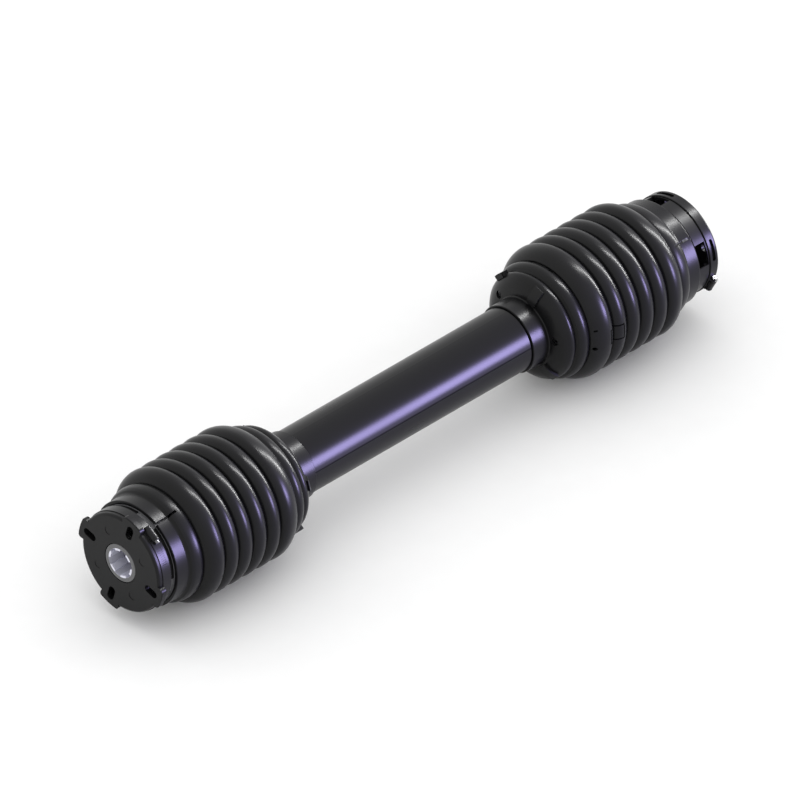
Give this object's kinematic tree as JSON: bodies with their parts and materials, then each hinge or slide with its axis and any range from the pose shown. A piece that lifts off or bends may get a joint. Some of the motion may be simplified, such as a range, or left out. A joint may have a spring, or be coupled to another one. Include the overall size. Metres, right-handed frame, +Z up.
{
  "type": "universal joint shaft",
  "caption": "Telescopic agricultural driveline in a full plastic guard: splined yokes and universal joints under ribbed bellows, carried between slotted mounting plates.",
  "frame": {"origin": "centre of the near mounting plate's outer face, on the shaft's axis", "axes": "+X along the shaft from the near plate to the far plate, +Z up, +Y to the left seen from the near plate"},
  "size_m": [0.845, 0.156, 0.156],
  "materials": {
    "bellows_plastic": "satin near-black ribbed moulding",
    "cone_plastic": "satin near-black moulding",
    "plate_plastic": "satin near-black moulding",
    "rim_plastic": "satin near-black moulding",
    "sleeve_plastic": "pale grey moulding, seen through the slits of the neck",
    "tube_plastic": "smooth satin near-black extruded tube",
    "cover_plastic": "matte black flap",
    "tab_plastic": "dark grey latch",
    "bearing_plastic": "natural nylon bearing ring",
    "band_steel": "black coated steel band",
    "screw_steel": "zinc plated steel",
    "yoke_steel": "mid-grey phosphate-coated forging with a bright machined bore",
    "yoke_paint": "dark grey painted forging",
    "tube_steel": "drawn three-lobe steel tube",
    "cross_steel": "ground steel",
    "cup_steel": "ground bright bearing cup",
    "seal_rubber": "black rubber seal",
    "nipple_brass": "brass grease nipple",
    "pin_steel": "bright plated steel",
    "spring_steel": "dark spring steel"
  },
  "bodies": {
    "outer_guard": {"outer_guard_tube": "tube_plastic", "near_bellows": "bellows_plastic", "near_lube_port_cover": "cover_plastic", "near_cone_base": "cone_plastic", "near_guard_bearing": "bearing_plastic", "near_latch_tabs": "tab_plastic", "near_cone_screws": "screw_steel"},
    "outer_shaft": {"outer_shaft_tube": "tube_steel", "near_inner_yoke": "yoke_paint", "near_roll_pin": "pin_steel", "near_inner_cups": "cup_steel", "near_inner_circlips": "spring_steel"},
    "inner_guard": {"inner_guard_tube": "tube_plastic", "far_bellows": "bellows_plastic", "far_lube_port_cover": "cover_plastic", "far_cone_base": "cone_plastic", "far_guard_bearing": "bearing_plastic", "far_latch_tabs": "tab_plastic", "far_cone_screws": "screw_steel"},
    "inner_shaft": {"inner_shaft_tube": "tube_steel", "far_inner_yoke": "yoke_paint", "far_roll_pin": "pin_steel", "far_inner_cups": "cup_steel", "far_inner_circlips": "spring_steel"},
    "near_cross": {"near_cross": "cross_steel", "near_grease_nipple": "nipple_brass", "near_seals": "seal_rubber"},
    "near_outer_yoke": {"near_outer_yoke": "yoke_steel", "near_outer_cups": "cup_steel", "near_outer_circlips": "spring_steel", "near_pin_spring": "spring_steel"},
    "near_release_pin": {"near_release_pin": "pin_steel"},
    "near_flange": {"near_mounting_plate": "plate_plastic", "near_adapter_ring": "plate_plastic", "near_neck_sleeve": "sleeve_plastic", "near_clamp_band": "band_steel", "near_clamp_housing": "band_steel", "near_clamp_screw": "screw_steel"},
    "far_cross": {"far_cross": "cross_steel", "far_grease_nipple": "nipple_brass", "far_seals": "seal_rubber"},
    "far_outer_yoke": {"far_outer_yoke": "yoke_steel", "far_outer_cups": "cup_steel", "far_outer_circlips": "spring_steel", "far_pin_spring": "spring_steel"},
    "far_release_pin": {"far_release_pin": "pin_steel"},
    "far_flange": {"far_mounting_plate": "plate_plastic", "far_adapter_ring": "plate_plastic", "far_neck_sleeve": "sleeve_plastic", "far_rim_band": "rim_plastic", "far_clamp_housing": "band_steel", "far_clamp_screw": "screw_steel"}
  },
  "joints": [
    {"name": "telescope", "type": "slide", "parent": "outer_guard", "child": "inner_guard", "axis": [1, 0, 0], "range_m": [0, 0.25]},
    {"name": "driveline_spin", "type": "hinge", "parent": "outer_guard", "child": "outer_shaft", "pos_m": [0.3, 0, 0], "axis": [1, 0, 0], "continuous": true},
    {"name": "inner_shaft_spin", "type": "hinge", "parent": "inner_guard", "child": "inner_shaft", "pos_m": [0.55, 0, 0], "axis": [1, 0, 0], "continuous": true},
    {"name": "near_cross_tilt", "type": "hinge", "parent": "outer_shaft", "child": "near_cross", "pos_m": [0.1263, 0, 0], "axis": [0, 1, 0], "range_deg": [-25, 25], "deforming": ["near_bellows"]},
    {"name": "near_yoke_tilt", "type": "hinge", "parent": "near_cross", "child": "near_outer_yoke", "pos_m": [0.1263, 0, 0], "axis": [0, 0, 1], "range_deg": [-25, 25]},
    {"name": "near_flange_spin", "type": "hinge", "parent": "near_outer_yoke", "child": "near_flange", "pos_m": [0.1263, 0, 0], "axis": [1, 0, 0], "continuous": true},
    {"name": "near_pin_push", "type": "slide", "parent": "near_outer_yoke", "child": "near_release_pin", "axis": [0, 0, -1], "range_m": [0, 0.005], "stiffness_N_per_m": 800, "springref_m": -0.002, "deforming": ["near_pin_spring"]},
    {"name": "far_cross_tilt", "type": "hinge", "parent": "inner_shaft", "child": "far_cross", "pos_m": [0.7103, 0, 0], "axis": [0, 1, 0], "range_deg": [-25, 25], "deforming": ["far_bellows"]},
    {"name": "far_yoke_tilt", "type": "hinge", "parent": "far_cross", "child": "far_outer_yoke", "pos_m": [0.7103, 0, 0], "axis": [0, 0, 1], "range_deg": [-25, 25]},
    {"name": "far_flange_spin", "type": "hinge", "parent": "far_outer_yoke", "child": "far_flange", "pos_m": [0.7103, 0, 0], "axis": [1, 0, 0], "continuous": true},
    {"name": "far_pin_push", "type": "slide", "parent": "far_outer_yoke", "child": "far_release_pin", "axis": [0, 0, -1], "range_m": [0, 0.005], "stiffness_N_per_m": 800, "springref_m": -0.002, "deforming": ["far_pin_spring"]}
  ],
  "couplings": [
    {"joint": "inner_shaft_spin", "follows": "driveline_spin", "ratio": 1},
    {"joint": "near_flange_spin", "follows": "driveline_spin", "ratio": -1},
    {"joint": "far_flange_spin", "follows": "driveline_spin", "ratio": -1}
  ]
}
